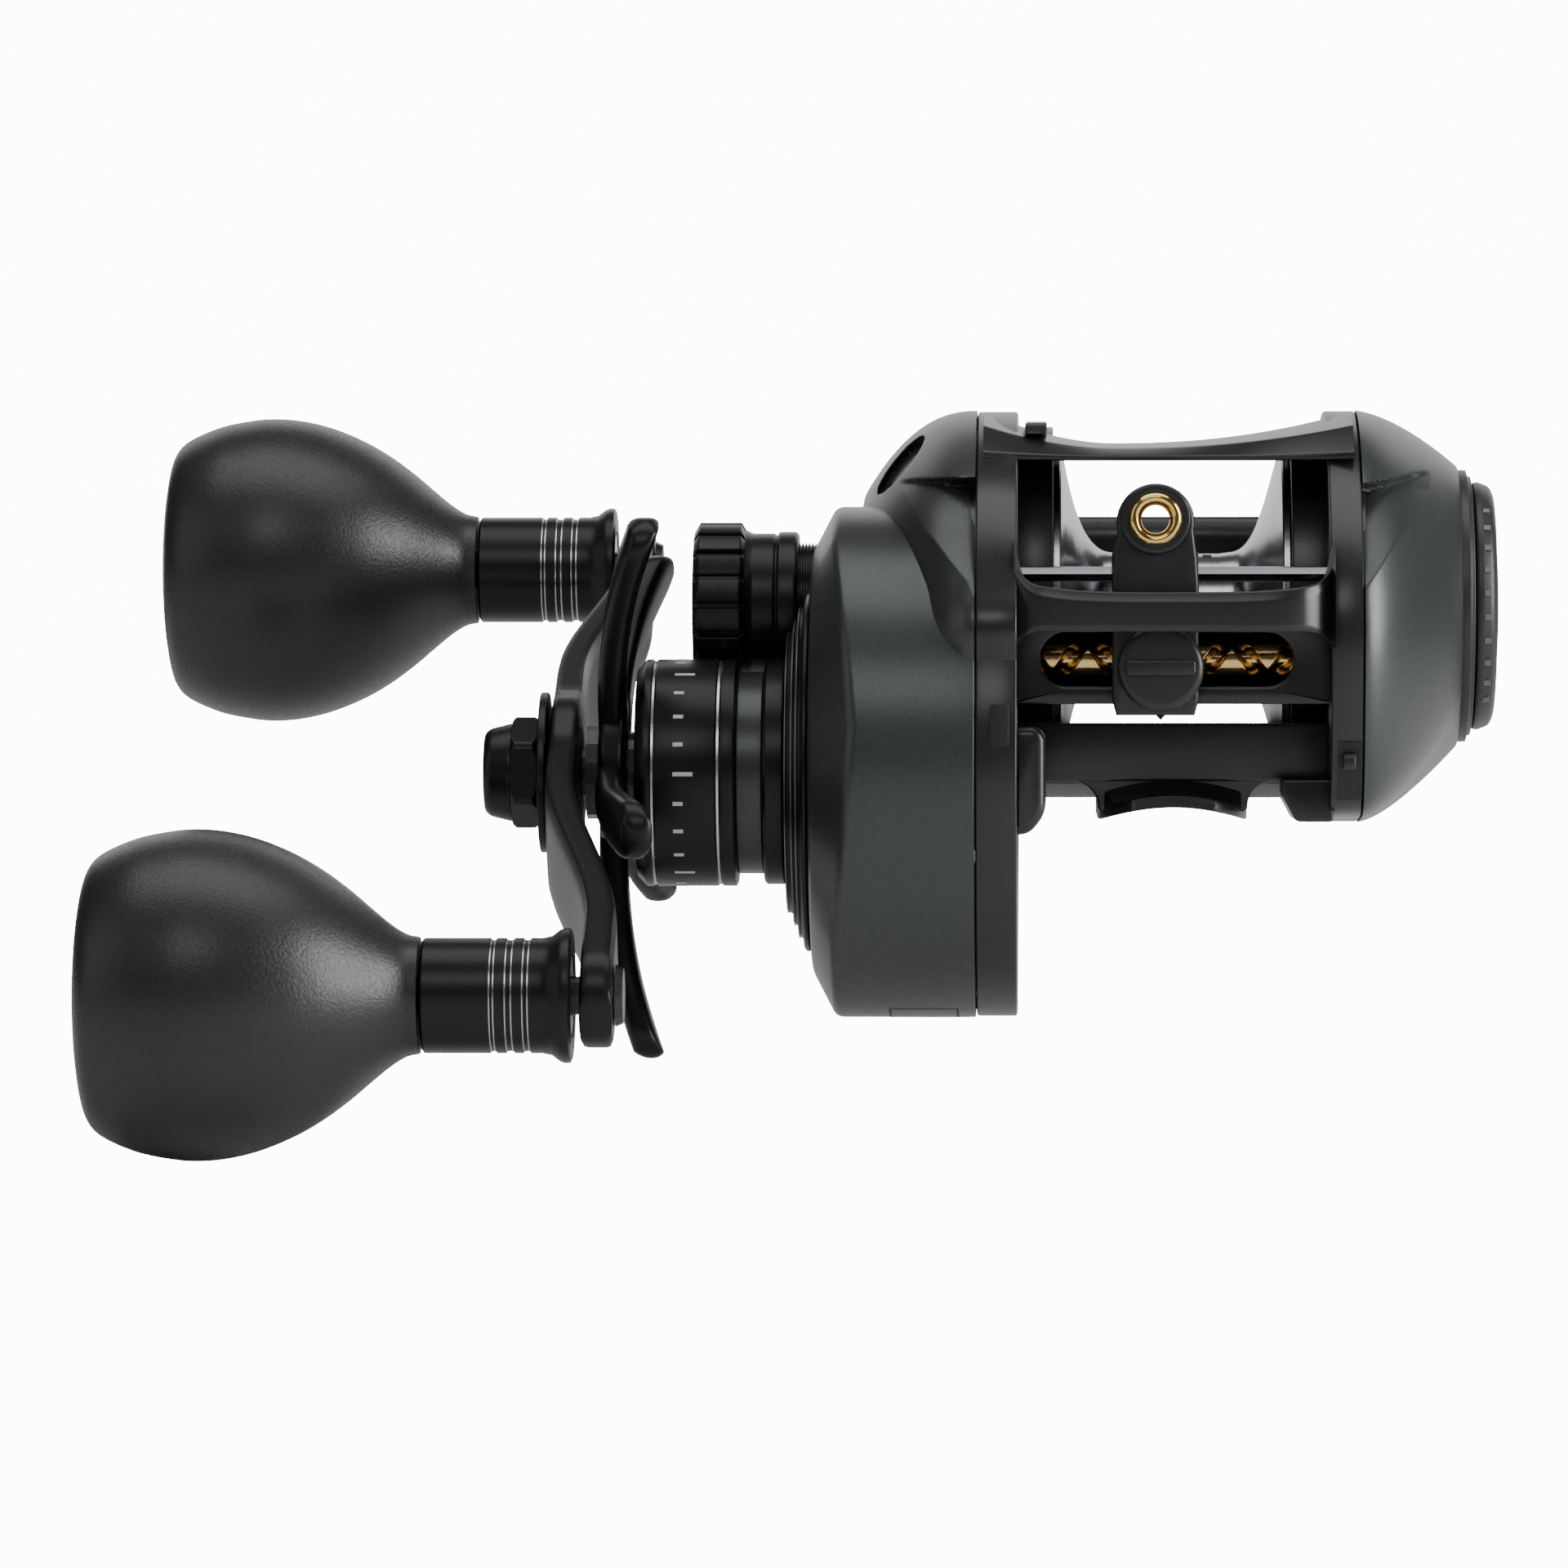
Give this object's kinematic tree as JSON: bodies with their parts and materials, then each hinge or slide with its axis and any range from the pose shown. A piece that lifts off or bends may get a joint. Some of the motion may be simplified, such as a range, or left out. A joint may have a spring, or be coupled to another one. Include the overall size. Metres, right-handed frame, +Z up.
{
  "type": "baitcasting reel",
  "caption": "Low-profile baitcasting reel with cranked double power handle, star drag, levelwind line guide, flared spool, thumb bar clutch, magnetic brake dial and removable side plate.",
  "frame": {"origin": "middle of the narrow flat along the reel foot's arched underside", "axes": "+X towards the palm side, -X towards the handle; -Y towards the line guide and rod tip; +Z up, away from the rod"},
  "size_m": [0.1665, 0.1344, 0.0884],
  "materials": {
    "black_paint": "satin black",
    "green_paint": "satin metallic dark green-grey",
    "black_anodised": "black anodised",
    "soft_touch": "soft-touch black",
    "black_plastic": "matte",
    "steel": "machined",
    "brass": "machined",
    "smoke_aluminium": "polished smoke anodised",
    "carbon": "woven carbon fibre"
  },
  "bodies": {
    "frame": {"frame": "black_paint", "reel_foot": "black_paint", "foot_screw_front": "steel", "foot_screw_rear": "steel", "gear_cover": "green_paint", "oil_port_cover": "green_paint", "cover_screw_1": "steel", "cover_screw_2": "steel", "cover_screw_3": "steel", "cover_ring": "black_anodised", "clutch_housing": "black_anodised", "anti_reverse_bearing": "steel", "drive_shaft_bearing": "steel", "spool_bearing_gear": "steel", "guide_rail": "steel", "worm_bush_gear": "brass", "worm_bush_palm": "brass", "yoke_pin_upper": "steel", "yoke_pin_lower": "steel", "yoke_spring_upper": "steel", "yoke_spring_lower": "steel"},
    "handle": {"handle_arm": "black_anodised", "handle_nut": "black_anodised", "nut_retainer": "black_anodised", "drive_shaft": "steel", "clutch_sleeve": "steel", "pressure_plate": "steel", "drag_washer_outer": "carbon", "main_gear": "brass", "drag_washer_inner": "carbon", "idle_gear": "steel", "knob_shaft_front": "steel", "knob_shaft_rear": "steel"},
    "knob_front": {"knob_grip_front": "soft_touch", "knob_collar_front": "black_anodised", "knob_bearing_front": "steel"},
    "knob_rear": {"knob_grip_rear": "soft_touch", "knob_collar_rear": "black_anodised", "knob_bearing_rear": "steel"},
    "star": {"star_wheel": "black_anodised"},
    "spool": {"spool": "smoke_aluminium", "spool_shaft": "steel", "brake_rotor": "smoke_aluminium"},
    "yoke": {"clutch_yoke": "steel"},
    "pinion": {"pinion_gear": "brass"},
    "worm": {"worm_shaft": "brass", "worm_gear": "steel"},
    "guide": {"line_guide": "black_paint", "guide_eyelet": "brass", "pawl": "steel", "pawl_cap": "black_anodised"},
    "cast_knob": {"cast_control_knob": "black_anodised"},
    "side_plate": {"palm_cover": "green_paint", "dial_ring": "black_paint", "bearing_holder": "black_paint", "spool_bearing_palm": "steel"},
    "brake_dial": {"brake_dial": "black_paint", "magnet_holder": "black_plastic"},
    "thumb_bar": {"thumb_bar": "black_paint"},
    "latch": {"release_latch": "black_paint"}
  },
  "joints": [
    {"name": "handle_turn", "type": "hinge", "parent": "frame", "child": "handle", "pos_m": [0, -0.014, 0.0039], "axis": [1, 0, 0], "continuous": true},
    {"name": "knob_front_spin", "type": "hinge", "parent": "handle", "child": "knob_front", "pos_m": [0, -0.06199, -0.02108], "axis": [1, 0, 0], "continuous": true},
    {"name": "knob_rear_spin", "type": "hinge", "parent": "handle", "child": "knob_rear", "pos_m": [0, 0.03399, 0.02888], "axis": [1, 0, 0], "continuous": true},
    {"name": "star_turn", "type": "hinge", "parent": "handle", "child": "star", "pos_m": [0, -0.014, 0.0039], "axis": [1, 0, 0], "range_deg": [-180, 180]},
    {"name": "spool_spin", "type": "hinge", "parent": "frame", "child": "spool", "pos_m": [0, 0, 0.0241], "axis": [1, 0, 0], "continuous": true},
    {"name": "thumb_bar_press", "type": "slide", "parent": "frame", "child": "thumb_bar", "axis": [0, 0, -1], "range_m": [0, 0.005]},
    {"name": "yoke_slide", "type": "slide", "parent": "frame", "child": "yoke", "axis": [-1, 0, 0], "range_m": [0, 0.0016], "deforming": ["yoke_spring_upper", "yoke_spring_lower"]},
    {"name": "pinion_spin", "type": "hinge", "parent": "yoke", "child": "pinion", "pos_m": [0, 0, 0.0241], "axis": [1, 0, 0], "continuous": true},
    {"name": "worm_spin", "type": "hinge", "parent": "frame", "child": "worm", "pos_m": [0, -0.03, 0.0176], "axis": [1, 0, 0], "continuous": true},
    {"name": "guide_slide", "type": "slide", "parent": "frame", "child": "guide", "axis": [1, 0, 0], "range_m": [-0.0094, 0.0125]},
    {"name": "cast_control_turn", "type": "hinge", "parent": "frame", "child": "cast_knob", "pos_m": [0, 0, 0.0241], "axis": [1, 0, 0], "range_deg": [-180, 180]},
    {"name": "side_plate_release", "type": "slide", "parent": "frame", "child": "side_plate", "axis": [1, 0, 0], "range_m": [0, 0.03]},
    {"name": "brake_dial_turn", "type": "hinge", "parent": "side_plate", "child": "brake_dial", "pos_m": [0, 0, 0.0241], "axis": [1, 0, 0], "range_deg": [-135, 135]},
    {"name": "latch_slide", "type": "slide", "parent": "frame", "child": "latch", "axis": [0, 0, -1], "range_m": [0, 0.003]}
  ],
  "couplings": [
    {"joint": "spool_spin", "follows": "handle_turn", "ratio": -6.6},
    {"joint": "pinion_spin", "follows": "handle_turn", "ratio": -6.6},
    {"joint": "worm_spin", "follows": "handle_turn", "ratio": -2},
    {"joint": "yoke_slide", "follows": "thumb_bar_press", "ratio": 0.32}
  ]
}
